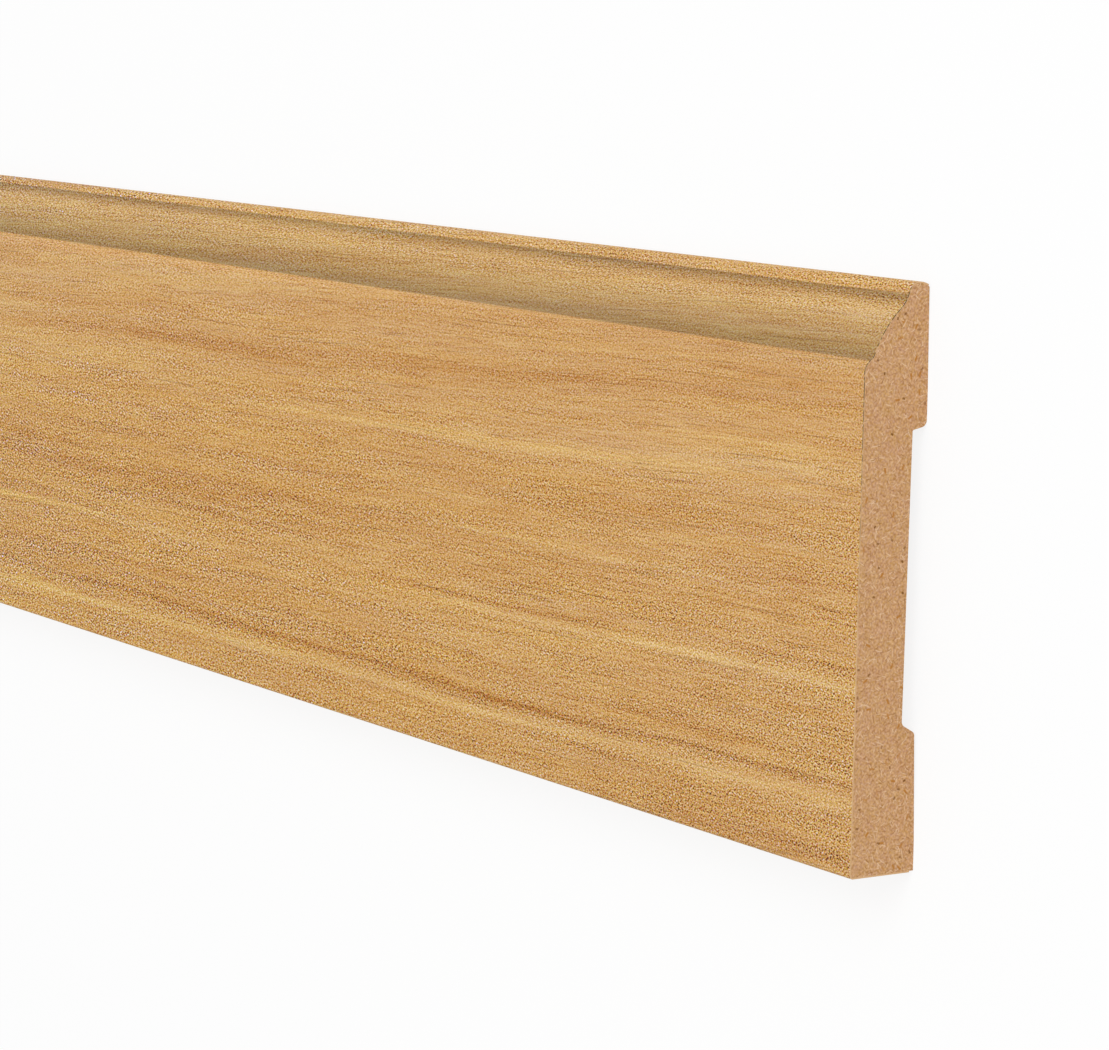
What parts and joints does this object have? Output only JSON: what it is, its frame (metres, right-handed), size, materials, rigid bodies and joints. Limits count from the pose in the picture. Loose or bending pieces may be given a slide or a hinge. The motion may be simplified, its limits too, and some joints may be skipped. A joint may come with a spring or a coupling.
{
  "type": "skirting board length",
  "caption": "Straight length of foil-wrapped MDF skirting board with an ogee-moulded top edge, a flat face and a relieved back; square cut at both ends.",
  "frame": {"origin": "middle of the footprint of the board lying on its back, on the plane of its back", "axes": "+X along the board, +Y from the bottom edge towards the moulded top edge, +Z out of the face"},
  "size_m": [2.4, 0.12, 0.016],
  "materials": {
    "mdf": "raw medium density fibreboard, matt, sawn at the ends and milled at the back",
    "oak_foil": "light oak wood-decor foil, satin, grain along the length"
  },
  "bodies": {
    "root": {"mdf_core": "mdf", "oak_decor_foil": "oak_foil"}
  },
  "joints": []
}
